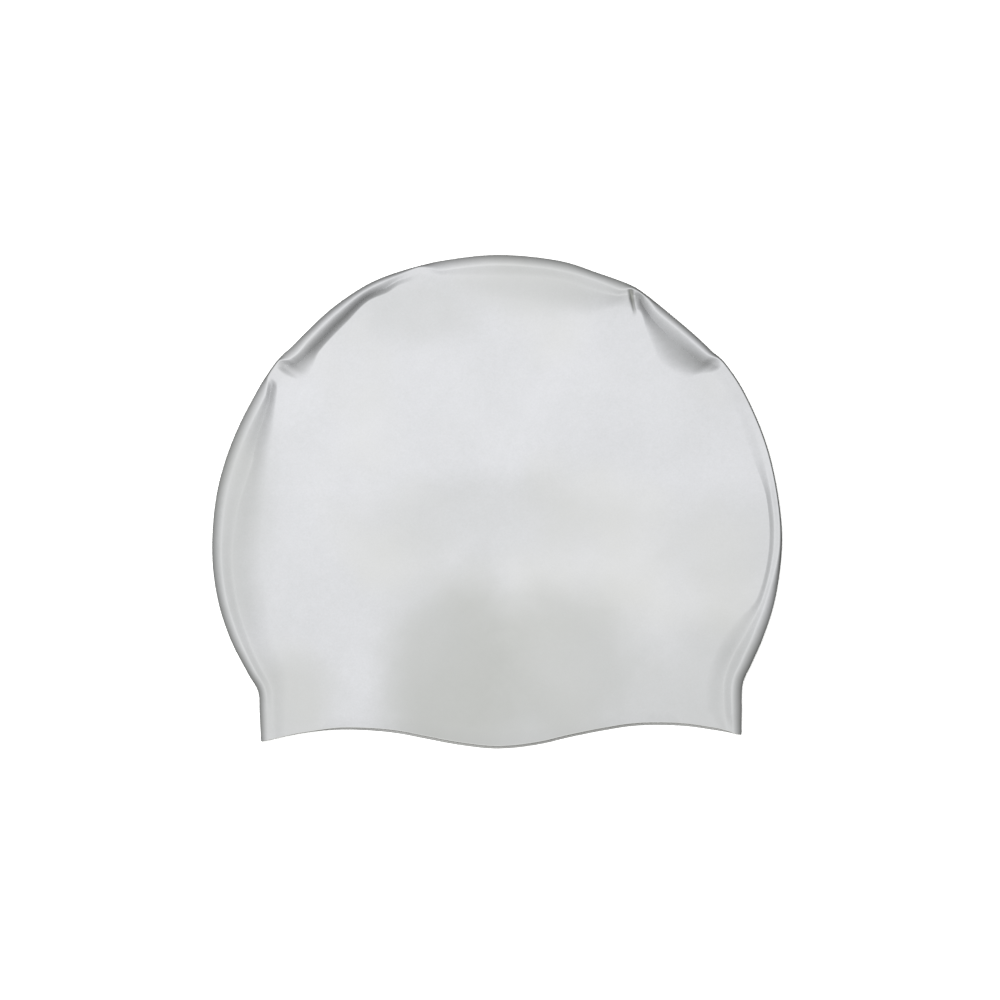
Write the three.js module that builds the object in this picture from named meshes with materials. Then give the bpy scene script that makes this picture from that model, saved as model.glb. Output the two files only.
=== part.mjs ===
// Moulded swim cap, lying flat on its back: one thin shell, open at the mouth.
// Units are millimetres. X runs across the cap, Y from the mouth to the crown,
// Z up from what the cap lies on. The origin is the middle of its footprint.

import * as THREE from 'three';

// Driving dimensions
const CAP_WIDTH = 220;
const CAP_LENGTH = 190.5;
const CAP_LOFT = 10.5;
const WALL = 1;

// The rolled edge, where the front layer turns over into the back layer, and the height that the
// dome of the front layer comes down to beside it
const ROLL_HEIGHT = 8;
const DOME_EDGE = 1.02 * ROLL_HEIGHT;
const ROLL_REACH = 3.8;

// Section of the roll: 1 would be round, 2 would come to a ridge at the outline
const ROLL_POWER = 1.6;

// The wall at the outline, where the sheet turns over
const TURN_WALL = 1.2 * WALL;

// How far the back layer's lip shows past the front layer's at the mouth
const LIP_STEP = 1;

// Width of the band inside the edge that holds the folds
const BAND = 6.3 * ROLL_REACH;

// How far up the neck the rings still follow the mouth's line
const CORNER_BLEND = 4 * ROLL_REACH;

// The middle of the sheet, where its rings close, as a share of the length
const MIDDLE_UP = 0.46;

// Smallest free height kept between the two layers
const LEAST_GAP = 0.3;

// Where the sheet slopes, its wall measured upright is at most this many times thicker
const SLOPE_LIMIT = 3;

// A rise behind the roll eases out at its top when it is this long, and is straight when short
const LONG_RISE = 3 * ROLL_REACH;

// How much the side of the hollow next to the roll bends, from flat at the roll's crest to steep
// at the bottom. It does so most where the hollow is deep and its far side is as short.
const NEAR_BEND = 1.6;

// A hollow this deep has a sharp bottom, a shallower one a rounder bottom
const SHARP_TROUGH = 0.4 * ROLL_HEIGHT;

// Share of the mouth over which its height goes over from the neck's to its own
const MOUTH_BLEND = 0.3;

// How fast the mouth's own height gives way to the dome's: a higher power is faster
const MOUTH_POWER = 5;

const SILICONE = { color: 0xc9c9cf, roughness: 0.48, metalness: 0 };

// The edge, from the left corner of the mouth over the crown to the right corner.
// across: share of half the width.  up: share of the length, from the mouth's lowest point.
// roll: height of the rolled edge, share of ROLL_HEIGHT.
// The next three are shares of ROLL_REACH, counted from the edge inwards:
// curl: where the roll has its crest.  back: where the hollow behind it is deepest.
// inner: where the sheet has its own height again.
// trough: depth of that hollow, share of ROLL_HEIGHT.
// soft: how its far side meets the sheet, 1 at a crisp rim and 2 in a soft curve.
const EDGE = [
  { across: -0.828, up: 0.014, roll: 0.80, curl: 0.74, back: 1.50, inner: 2.60, trough: 0.03, soft: 1.6 },
  { across: -0.833, up: 0.074, roll: 0.88, curl: 0.79, back: 1.46, inner: 2.80, trough: 0.05, soft: 1.6 },
  { across: -0.838, up: 0.116, roll: 0.96, curl: 0.79, back: 1.42, inner: 3.20, trough: 0.09, soft: 1.7 },
  { across: -0.872, up: 0.151, roll: 1.02, curl: 0.79, back: 1.45, inner: 3.70, trough: 0.13, soft: 1.7 },
  { across: -0.935, up: 0.222, roll: 1.00, curl: 0.89, back: 1.70, inner: 4.40, trough: 0.17, soft: 1.6 },
  { across: -0.979, up: 0.301, roll: 1.00, curl: 0.91, back: 1.85, inner: 4.90, trough: 0.18, soft: 1.4 },
  { across: -0.999, up: 0.392, roll: 1.00, curl: 0.95, back: 2.00, inner: 5.00, trough: 0.16, soft: 1.4 },
  { across: -0.987, up: 0.503, roll: 1.00, curl: 1.01, back: 2.40, inner: 4.90, trough: 0.17, soft: 1.5 },
  { across: -0.955, up: 0.580, roll: 1.03, curl: 1.05, back: 2.65, inner: 4.50, trough: 0.18, soft: 1.7 },
  { across: -0.906, up: 0.653, roll: 1.03, curl: 1.03, back: 2.20, inner: 3.75, trough: 0.29, soft: 1.9 },
  { across: -0.844, up: 0.722, roll: 0.99, curl: 0.98, back: 1.50, inner: 2.32, trough: 0.30, soft: 1.8 },
  { across: -0.822, up: 0.744, roll: 0.95, curl: 0.60, back: 1.07, inner: 1.79, trough: 0.27, soft: 1.6 },
  { across: -0.806, up: 0.758, roll: 0.94, curl: 0.22, back: 0.90, inner: 1.40, trough: 0.00, soft: 1.4 },
  { across: -0.786, up: 0.775, roll: 0.94, curl: 0.18, back: 0.90, inner: 1.80, trough: 0.00, soft: 1.4 },
  { across: -0.770, up: 0.787, roll: 0.96, curl: 0.20, back: 0.97, inner: 3.20, trough: 0.30, soft: 1.9 },
  { across: -0.746, up: 0.801, roll: 1.04, curl: 0.86, back: 1.64, inner: 3.35, trough: 0.49, soft: 2.2 },
  { across: -0.722, up: 0.813, roll: 1.09, curl: 0.91, back: 1.69, inner: 3.08, trough: 0.50, soft: 2.1 },
  { across: -0.676, up: 0.840, roll: 1.08, curl: 0.75, back: 1.66, inner: 2.34, trough: 0.62, soft: 1.4 },
  { across: -0.579, up: 0.892, roll: 1.04, curl: 0.68, back: 1.50, inner: 2.11, trough: 0.62, soft: 1.5 },
  { across: -0.471, up: 0.935, roll: 0.98, curl: 0.48, back: 1.08, inner: 1.54, trough: 0.53, soft: 1.5 },
  { across: -0.412, up: 0.952, roll: 0.96, curl: 0.47, back: 1.13, inner: 1.65, trough: 0.36, soft: 1.4 },
  { across: -0.350, up: 0.965, roll: 0.95, curl: 0.38, back: 0.84, inner: 1.32, trough: 0.10, soft: 1.4 },
  { across: -0.279, up: 0.977, roll: 0.97, curl: 0.16, back: 0.80, inner: 1.40, trough: 0.01, soft: 1.5 },
  { across: -0.195, up: 0.988, roll: 1.08, curl: 1.01, back: 1.50, inner: 3.30, trough: 0.05, soft: 1.7 },
  { across: 0.001, up: 1.000, roll: 1.12, curl: 1.03, back: 2.10, inner: 4.40, trough: 0.10, soft: 1.5 },
  { across: 0.228, up: 0.987, roll: 1.02, curl: 0.98, back: 1.90, inner: 4.80, trough: 0.11, soft: 1.4 },
  { across: 0.352, up: 0.964, roll: 0.96, curl: 0.81, back: 1.80, inner: 4.70, trough: 0.15, soft: 1.4 },
  { across: 0.440, up: 0.946, roll: 0.94, curl: 0.90, back: 1.50, inner: 3.10, trough: 0.16, soft: 1.8 },
  { across: 0.484, up: 0.935, roll: 0.94, curl: 0.30, back: 0.90, inner: 2.40, trough: 0.10, soft: 1.6 },
  { across: 0.508, up: 0.926, roll: 0.94, curl: 0.24, back: 0.64, inner: 2.30, trough: 0.37, soft: 3.4 },
  { across: 0.531, up: 0.916, roll: 0.96, curl: 0.26, back: 1.02, inner: 1.74, trough: 0.46, soft: 1.6 },
  { across: 0.583, up: 0.892, roll: 0.98, curl: 0.70, back: 1.56, inner: 2.78, trough: 0.39, soft: 1.9 },
  { across: 0.684, up: 0.843, roll: 0.97, curl: 0.66, back: 1.86, inner: 4.40, trough: 0.53, soft: 1.7 },
  { across: 0.733, up: 0.817, roll: 0.97, curl: 0.62, back: 1.67, inner: 4.10, trough: 0.62, soft: 2.0 },
  { across: 0.756, up: 0.804, roll: 0.97, curl: 0.52, back: 1.52, inner: 3.75, trough: 0.62, soft: 2.3 },
  { across: 0.784, up: 0.791, roll: 0.96, curl: 0.20, back: 0.92, inner: 2.40, trough: 0.36, soft: 1.9 },
  { across: 0.803, up: 0.779, roll: 0.96, curl: 0.16, back: 0.90, inner: 1.60, trough: 0.00, soft: 1.5 },
  { across: 0.863, up: 0.727, roll: 0.98, curl: 0.16, back: 0.90, inner: 1.60, trough: 0.00, soft: 1.3 },
  { across: 0.944, up: 0.619, roll: 1.00, curl: 0.16, back: 0.80, inner: 1.80, trough: 0.03, soft: 1.2 },
  { across: 0.989, up: 0.503, roll: 0.99, curl: 0.18, back: 0.72, inner: 1.22, trough: 0.13, soft: 1.0 },
  { across: 1.000, up: 0.412, roll: 0.98, curl: 0.28, back: 0.86, inner: 1.32, trough: 0.10, soft: 1.1 },
  { across: 0.975, up: 0.301, roll: 1.00, curl: 0.88, back: 1.26, inner: 1.80, trough: 0.10, soft: 1.4 },
  { across: 0.932, up: 0.223, roll: 1.12, curl: 1.09, back: 1.80, inner: 3.40, trough: 0.14, soft: 1.5 },
  { across: 0.892, up: 0.171, roll: 1.16, curl: 1.10, back: 2.05, inner: 3.80, trough: 0.19, soft: 1.5 },
  { across: 0.863, up: 0.133, roll: 1.12, curl: 1.10, back: 1.92, inner: 3.70, trough: 0.15, soft: 1.6 },
  { across: 0.859, up: 0.074, roll: 1.06, curl: 1.05, back: 1.80, inner: 3.60, trough: 0.12, soft: 1.4 },
  { across: 0.858, up: 0.028, roll: 0.92, curl: 0.92, back: 1.55, inner: 2.60, trough: 0.05, soft: 1.6 },
];

// The mouth's wavy lip, from the left corner to the right one.
// across and up as above.  gape: height of the front layer there, share of ROLL_HEIGHT.
// step: how far its edge stands back from the back layer's, share of LIP_STEP.
const MOUTH = [
  { across: -0.828, up: 0.0142, gape: 0.88, step: 0.00 },
  { across: -0.670, up: 0.0324, gape: 0.96, step: 0.25 },
  { across: -0.532, up: 0.0385, gape: 1.00, step: 0.80 },
  { across: -0.362, up: 0.0322, gape: 1.00, step: 1.00 },
  { across: -0.248, up: 0.0200, gape: 0.98, step: 1.00 },
  { across: -0.137, up: 0.0081, gape: 0.97, step: 1.00 },
  { across: 0.001, up: 0.0000, gape: 0.96, step: 1.00 },
  { across: 0.140, up: 0.0079, gape: 0.97, step: 1.00 },
  { across: 0.249, up: 0.0223, gape: 0.99, step: 1.00 },
  { across: 0.362, up: 0.0356, gape: 1.01, step: 1.00 },
  { across: 0.488, up: 0.0464, gape: 1.02, step: 1.00 },
  { across: 0.651, up: 0.0462, gape: 1.01, step: 1.00 },
  { across: 0.763, up: 0.0377, gape: 0.97, step: 0.90 },
  { across: 0.858, up: 0.0283, gape: 0.90, step: 0.00 },
];

// Shallow dents in the front layer.
// across and up: the middle.  wide: half width, share of half the width.
// long: half length, share of the length.  depth: share of CAP_LOFT.
const DENTS = [
  { across: 0.08, up: 0.25, wide: 0.50, long: 0.17, depth: 0.10 },
  { across: -0.44, up: 0.62, wide: 0.30, long: 0.16, depth: 0.05 },
];

// How finely the shell is divided
const STEPS_PER_EDGE_ROW = 3;
const ROLL_STEPS = 6;
const MOUTH_STEPS = 30;
const SHEET_RINGS = 5;
const LIP_STEPS = 36;

// The way inwards is taken from the edge's run over this far to each side, so that the rings
// don't cross where the edge is pinched
const NORMAL_REACH = 3 * ROLL_REACH;

// Half the distance over which a slope is measured
const SLOPE_REACH = 0.4;

const HALF_WIDTH = CAP_WIDTH / 2;
const MIDDLE = new THREE.Vector3(0, (MIDDLE_UP - 0.5) * CAP_LENGTH, 0);

// A share of half the width and a share of the length, as a place on the floor.
function place(row) {
  return new THREE.Vector3(row.across * HALF_WIDTH, (row.up - 0.5) * CAP_LENGTH, 0);
}

function clamp01(value) {
  return Math.min(1, Math.max(0, value));
}

// Eases from 0 to 1 with no kink at either end.
function smooth(value) {
  const t = clamp01(value);
  return t * t * (3 - 2 * t);
}

function mix(from, to, share) {
  return from + (to - from) * share;
}

// A column of a table at a place between two of its rows.
function column(table, name, rowPlace) {
  const last = table.length - 1;
  const row = Math.min(last - 1, Math.floor(rowPlace));
  return mix(table[row][name], table[row + 1][name], smooth(rowPlace - row));
}

const edgeLine = new THREE.CatmullRomCurve3(EDGE.map(place), false, 'centripetal');
const mouthLine = new THREE.CatmullRomCurve3(MOUTH.map(place), false, 'centripetal');
const MOUTH_RUN = mouthLine.getLength();

// The point of the mouth's line that lies this far along it from the left corner.
function alongMouth(distance) {
  return mouthLine.getPointAt(clamp01(distance / MOUTH_RUN));
}

// Every station of the edge: its place, the way inwards and the row of sizes that holds there.
function edgeStations() {
  const count = (EDGE.length - 1) * STEPS_PER_EDGE_ROW;
  const points = [];
  for (let i = 0; i <= count; i += 1) {
    points.push(edgeLine.getPoint(i / count));
  }
  const run = [0];
  for (let i = 1; i <= count; i += 1) {
    run.push(run[i - 1] + points[i].distanceTo(points[i - 1]));
  }
  return points.map((point, i) => {
    const ahead = edgeLine.getPointAt(clamp01((run[i] + NORMAL_REACH) / run[count]));
    const behind = edgeLine.getPointAt(clamp01((run[i] - NORMAL_REACH) / run[count]));
    const tangent = ahead.sub(behind).normalize();
    const rowPlace = i / STEPS_PER_EDGE_ROW;
    return {
      point,
      inwards: new THREE.Vector3(tangent.y, -tangent.x, 0),
      fromLeft: run[i],
      fromRight: run[count] - run[i],
      roll: column(EDGE, 'roll', rowPlace) * ROLL_HEIGHT,
      curl: column(EDGE, 'curl', rowPlace) * ROLL_REACH,
      back: column(EDGE, 'back', rowPlace) * ROLL_REACH,
      inner: column(EDGE, 'inner', rowPlace) * ROLL_REACH,
      trough: column(EDGE, 'trough', rowPlace) * ROLL_HEIGHT,
      soft: column(EDGE, 'soft', rowPlace),
    };
  });
}

// A place this far inwards of a station. Near a corner the rings swing on to the mouth's line.
function inwardsOf(station, distance) {
  const straight = station.point.clone().addScaledVector(station.inwards, distance);
  const left = station.fromLeft < station.fromRight;
  const fromCorner = left ? station.fromLeft : station.fromRight;
  const share = smooth(fromCorner / CORNER_BLEND);
  if (share === 1) {
    return straight;
  }
  const corner = left ? alongMouth(0) : alongMouth(MOUTH_RUN);
  const onMouth = left ? alongMouth(distance) : alongMouth(MOUTH_RUN - distance);
  const beside = station.point.clone().add(onMouth.sub(corner));
  return beside.lerp(straight, share);
}

// How deep the dents are at a place.
function dentDepth(at) {
  let depth = 0;
  for (const dent of DENTS) {
    const middle = place(dent);
    const reachX = (at.x - middle.x) / (dent.wide * HALF_WIDTH);
    const reachY = (at.y - middle.y) / (dent.long * CAP_LENGTH);
    depth += dent.depth * CAP_LOFT * (1 - smooth(Math.hypot(reachX, reachY)));
  }
  return depth;
}

// The front layer's own height, a low dome, before the roll, its hollow and the dents.
function domeHeight(at) {
  const across = (at.x - MIDDLE.x) / HALF_WIDTH;
  const along = (at.y - MIDDLE.y) / (CAP_LENGTH / 2);
  return CAP_LOFT - (CAP_LOFT - DOME_EDGE) * (across * across + along * along);
}

// How much of the hollow's depth is reached at a distance from the edge, if its bottom is sharp.
function sharpShare({ curl, back, inner, trough, soft }, distance) {
  const near = back - curl;
  const far = inner - back;
  if (distance < back) {
    const bend = NEAR_BEND * (trough / ROLL_HEIGHT) * Math.min(1, near / far);
    return clamp01((distance - curl) / near) ** (1 + bend);
  }
  return clamp01((inner - distance) / far) ** soft;
}

// The same with the bottom as round as the hollow is shallow.
function hollowShare(station, distance) {
  const share = sharpShare(station, distance);
  const round = 1 - clamp01(station.trough / SHARP_TROUGH);
  return share + round * share * share * (1 - share);
}

// Height of the front layer's outer face in the band behind the roll.
function bandHeight(station, distance) {
  const way = station.inner - station.curl;
  const done = clamp01((distance - station.curl) / way);
  const ease = 1 + clamp01(way / LONG_RISE);
  const rise = 1 - (1 - done) ** ease;
  const own = domeHeight(bandPlace(station, distance));
  return mix(station.roll, own, rise) - station.trough * hollowShare(station, distance);
}

const stations = edgeStations();
const lastStation = stations.length - 1;

// The distances of the rings in the band behind the roll, for one station.
function ringDistances(station) {
  const { curl, back, inner } = station;
  return [
    mix(curl, back, 0.5),
    mix(curl, back, 0.8),
    back,
    mix(back, inner, 0.25),
    mix(back, inner, 0.6),
    inner,
    mix(inner, BAND, 0.5),
    BAND,
  ];
}

// The inner face lies the wall's thickness below the outer one, measured square to the sheet.
function innerHeight(outer, slope) {
  const drop = WALL * Math.min(SLOPE_LIMIT, Math.hypot(1, slope));
  return Math.max(WALL + LEAST_GAP, outer - drop);
}

const vertices = [];
const triangles = [];

function addVertex(x, y, z) {
  vertices.push(x, y, z);
  return vertices.length / 3 - 1;
}

function addQuad(a, b, c, d) {
  triangles.push(a, b, c);
  triangles.push(a, c, d);
}

function closed(row) {
  return [...row, row[0]];
}

// Joins two rows of vertices with the same count.
function joinRows(low, high, flip) {
  for (let i = 0; i + 1 < low.length; i += 1) {
    if (flip) {
      addQuad(low[i], low[i + 1], high[i + 1], high[i]);
    } else {
      addQuad(low[i], high[i], high[i + 1], low[i + 1]);
    }
  }
}

// A column of the mouth's table at a place across.
function mouthColumn(name, x) {
  const across = x / HALF_WIDTH;
  let row = 0;
  while (row < MOUTH.length - 2 && across > MOUTH[row + 1].across) {
    row += 1;
  }
  const way = MOUTH[row + 1].across - MOUTH[row].across;
  return column(MOUTH, name, row + clamp01((across - MOUTH[row].across) / way));
}

// How far the front layer's edge stands back from the back layer's.
function lipStep(x) {
  return mouthColumn('step', x) * LIP_STEP;
}

// The front layer's edge over the mouth between the ends of the band: its places, and how far
// it droops below the dome there.
function mouthStations() {
  const list = [];
  for (let m = 1; m < MOUTH_STEPS; m += 1) {
    const share = m / MOUTH_STEPS;
    const at = alongMouth(mix(BAND, MOUTH_RUN - BAND, share));
    const gape = mouthColumn('gape', at.x) * ROLL_HEIGHT;
    const own = smooth(Math.min(share, 1 - share) / MOUTH_BLEND);
    at.y += lipStep(at.x);
    list.push({ at, droop: own * (domeHeight(at) - gape) });
  }
  return list;
}

// A place in the front layer's band. Near a corner it keeps to the front layer's own lip.
function bandPlace(station, distance) {
  const at = inwardsOf(station, distance);
  const fromCorner = Math.min(station.fromLeft, station.fromRight);
  at.y += lipStep(at.x) * (1 - smooth(fromCorner / CORNER_BLEND));
  return at;
}

// Joins a ring of vertices to the one in its middle.
function fan(ring, centre, flip) {
  for (let i = 0; i + 1 < ring.length; i += 1) {
    if (flip) {
      triangles.push(ring[i], ring[i + 1], centre);
    } else {
      triangles.push(ring[i], centre, ring[i + 1]);
    }
  }
}

// One skin of the shell: the outer one with inset 0, the inner one with the wall as inset.
// Returns the vertices around the mouth, from the back layer's left end round to the left again.
function buildSkin(inset, flip) {
  const outer = inset === 0;
  const turn = outer ? 0 : TURN_WALL;
  const rollRows = [];
  for (let k = 0; k <= ROLL_STEPS; k += 1) {
    const angle = mix(-Math.PI / 2, Math.PI / 2, k / ROLL_STEPS);
    const sine = Math.sin(angle);
    const lift = Math.sign(sine) * Math.abs(sine) ** ROLL_POWER;
    rollRows.push(stations.map((station) => {
      const reach = station.curl - (station.curl - turn) * Math.cos(angle);
      const half = station.roll / 2;
      const at = inwardsOf(station, reach);
      return addVertex(at.x, at.y, half + (half - inset) * lift);
    }));
  }

  const bandRows = [];
  const bandRings = ringDistances(stations[0]).length;
  for (let k = 0; k < bandRings; k += 1) {
    bandRows.push(stations.map((station) => {
      const distance = ringDistances(station)[k];
      const at = bandPlace(station, distance);
      const before = bandHeight(station, distance - SLOPE_REACH);
      const after = bandHeight(station, distance + SLOPE_REACH);
      const slope = (after - before) / (2 * SLOPE_REACH);
      const height = bandHeight(station, distance) - dentDepth(at);
      return addVertex(at.x, at.y, outer ? height : innerHeight(height, slope));
    }));
  }

  // The front layer from the band and the mouth to the middle
  const mouth = mouthStations().reverse();
  const mouthRow = mouth.map(({ at, droop }) => {
    const top = domeHeight(at) - droop - dentDepth(at);
    return addVertex(at.x, at.y, outer ? top : innerHeight(top, 0));
  });
  const bandEnd = stations.map((station) => ({ at: bandPlace(station, BAND), droop: 0 }));
  const rim = [...bandEnd, ...mouth];
  let previous = [...bandRows.at(-1), ...mouthRow];
  for (let k = 1; k <= SHEET_RINGS; k += 1) {
    const share = k / (SHEET_RINGS + 1);
    const row = rim.map((start) => {
      const at = start.at.clone().lerp(MIDDLE, share);
      const droop = start.droop * (1 - share) ** MOUTH_POWER;
      const height = domeHeight(at) - droop - dentDepth(at);
      return addVertex(at.x, at.y, outer ? height : innerHeight(height, 0));
    });
    joinRows(closed(previous), closed(row), flip);
    previous = row;
  }
  const top = CAP_LOFT - dentDepth(MIDDLE);
  fan(closed(previous), addVertex(MIDDLE.x, MIDDLE.y, outer ? top : innerHeight(top, 0)), flip);

  // The roll and the band behind it
  const rows = [...rollRows, ...bandRows];
  for (let k = 0; k + 1 < rows.length; k += 1) {
    joinRows(rows[k], rows[k + 1], flip);
  }

  // The back layer, flat on the floor
  const leftCurl = stations[0].curl;
  const rightCurl = stations[lastStation].curl;
  const backLip = [];
  for (let m = 1; m < LIP_STEPS; m += 1) {
    const at = alongMouth(mix(leftCurl, MOUTH_RUN - rightCurl, m / LIP_STEPS));
    backLip.push(addVertex(at.x, at.y, inset));
  }
  const backRing = [...rollRows[0], ...backLip.slice().reverse()];
  fan(closed(backRing), addVertex(MIDDLE.x, MIDDLE.y, inset), !flip);

  // The boundary at the mouth
  const rightSide = rows.map((row) => row.at(-1));
  const leftSide = rows.map((row) => row[0]);
  return [
    ...backLip,
    ...rightSide,
    ...mouthRow,
    ...leftSide.reverse(),
  ];
}

const outerRim = buildSkin(0, false);
const innerRim = buildSkin(WALL, true);

// The cut face around the mouth, one wall thick
joinRows(closed(outerRim), closed(innerRim), true);

const geometry = new THREE.BufferGeometry();
geometry.setAttribute('position', new THREE.Float32BufferAttribute(vertices, 3));
geometry.setIndex(triangles);
geometry.computeVertexNormals();

const cap = new THREE.Mesh(geometry, new THREE.MeshStandardMaterial(SILICONE));
cap.name = 'cap_shell';

const group = new THREE.Group();
group.name = 'swim_cap';
group.add(cap);

export default group;
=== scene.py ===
"""The looks of the moulded swim cap, lying flat and seen from straight above."""

import math

import bpy
import numpy as np
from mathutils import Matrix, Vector


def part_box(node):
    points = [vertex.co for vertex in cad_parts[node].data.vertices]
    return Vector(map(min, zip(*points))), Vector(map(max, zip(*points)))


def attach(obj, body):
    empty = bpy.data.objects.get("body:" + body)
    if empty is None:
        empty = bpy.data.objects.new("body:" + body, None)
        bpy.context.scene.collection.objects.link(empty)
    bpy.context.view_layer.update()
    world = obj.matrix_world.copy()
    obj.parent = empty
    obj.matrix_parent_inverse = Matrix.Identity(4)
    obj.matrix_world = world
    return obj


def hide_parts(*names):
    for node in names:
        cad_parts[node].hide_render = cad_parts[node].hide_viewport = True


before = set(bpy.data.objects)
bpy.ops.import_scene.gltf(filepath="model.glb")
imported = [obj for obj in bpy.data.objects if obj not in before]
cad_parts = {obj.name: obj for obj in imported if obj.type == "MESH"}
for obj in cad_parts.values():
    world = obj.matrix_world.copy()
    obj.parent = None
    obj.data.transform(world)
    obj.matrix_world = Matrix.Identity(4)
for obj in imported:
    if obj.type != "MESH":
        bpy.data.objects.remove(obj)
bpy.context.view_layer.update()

# Sizes, in metres. The cap's width, length and loft are the CAD solid's own.
SHELL_LOW, SHELL_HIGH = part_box("cap_shell")
CAP_WIDTH = SHELL_HIGH[0] - SHELL_LOW[0]
CAP_LENGTH = SHELL_HIGH[1] - SHELL_LOW[1]
CAP_LOFT = SHELL_HIGH[2] - SHELL_LOW[2]
HALF_WIDTH = CAP_WIDTH / 2
MM = 0.001
WALL = 1.0 * MM

# The rolled edge, where the front layer turns over into the back layer, and the height that the
# dome of the front layer comes down to beside it
ROLL_HEIGHT = 8.0 * MM
DOME_EDGE = 1.02 * ROLL_HEIGHT
ROLL_REACH = 3.8 * MM

# Section of the roll: 1 would be round, 2 would come to a ridge at the outline
ROLL_POWER = 1.6

# The wall at the outline, where the sheet turns over
TURN_WALL = 1.2 * WALL

# How far the back layer's lip shows past the front layer's at the mouth
LIP_STEP = 1.0 * MM

# How far the cut edge of the mouth is rounded, and the power of its section: 1 would be oval
LIP_ROUND = 0.35 * MM
LIP_POWER = 0.7

# Width of the band inside the edge that holds the folds. Its last rings lie wider apart towards
# its end by this power.
BAND = 6.3 * ROLL_REACH
BAND_SPREAD = 1.5

# How far up the neck the rings still follow the mouth's line
CORNER_BLEND = 4 * ROLL_REACH

# The way inwards from the edge is square to the line between the places this far to both sides
NORMAL_REACH = 3 * ROLL_REACH

# The middle of the sheet, where its rings close, as a share of the length
MIDDLE_UP = 0.46
MIDDLE = np.array([0.0, (MIDDLE_UP - 0.5) * CAP_LENGTH])

# Smallest free height kept between the two layers
LEAST_GAP = 0.3 * MM

# Where the sheet slopes, its wall measured upright is at most this many times thicker. The slope
# is the one between the places this far to both sides.
SLOPE_LIMIT = 3.0
SLOPE_REACH = 0.4 * MM

# A rise behind the roll eases out at its top when it is this long, and is straight when short
LONG_RISE = 3 * ROLL_REACH

# How much the side of the hollow next to the roll bends, from flat at the roll's crest to steep
# at the bottom. It does so most where the hollow is deep and its far side is as short.
NEAR_BEND = 1.6

# A hollow this deep has a sharp bottom, a shallower one a rounder bottom
SHARP_TROUGH = 0.4 * ROLL_HEIGHT

# A hollow's bottom is shaded as a crease where it is deeper than this, and its rim where its far
# side meets the sheet with a lower value of soft than this
CREASED_TROUGH = 0.2 * ROLL_HEIGHT
CRISP_RIM = 1.35

# Painted shade in the hollows: the sheet's colour goes this share of the way to its dark fold
# shade tone at the bottom of a hollow of this depth, and less up its sides. A lower power keeps
# the painted shade dark further up.
FOLD_SHADE_SHARE = 0.5
FOLD_SHADE_TROUGH = 0.76 * ROLL_HEIGHT
FOLD_SHADE_POWER = 0.6

# Share of the mouth over which its height goes over from the neck's to its own
MOUTH_BLEND = 0.3

# How fast the mouth's own height gives way to the dome's: a higher power is faster
MOUTH_POWER = 5

# The back layer lies on the floor, but its middle lifts off by up to this much, in slow waves.
# Each wave has its radians in a metre and its shift in radians.
BACK_LIFT = 0.25 * MM
BACK_WAVE_ACROSS = (61.0, 0.7)
BACK_WAVE_UP = (74.0, -0.4)

# The shell's material slots
OUTSIDE, INSIDE, LIP = range(3)

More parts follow.
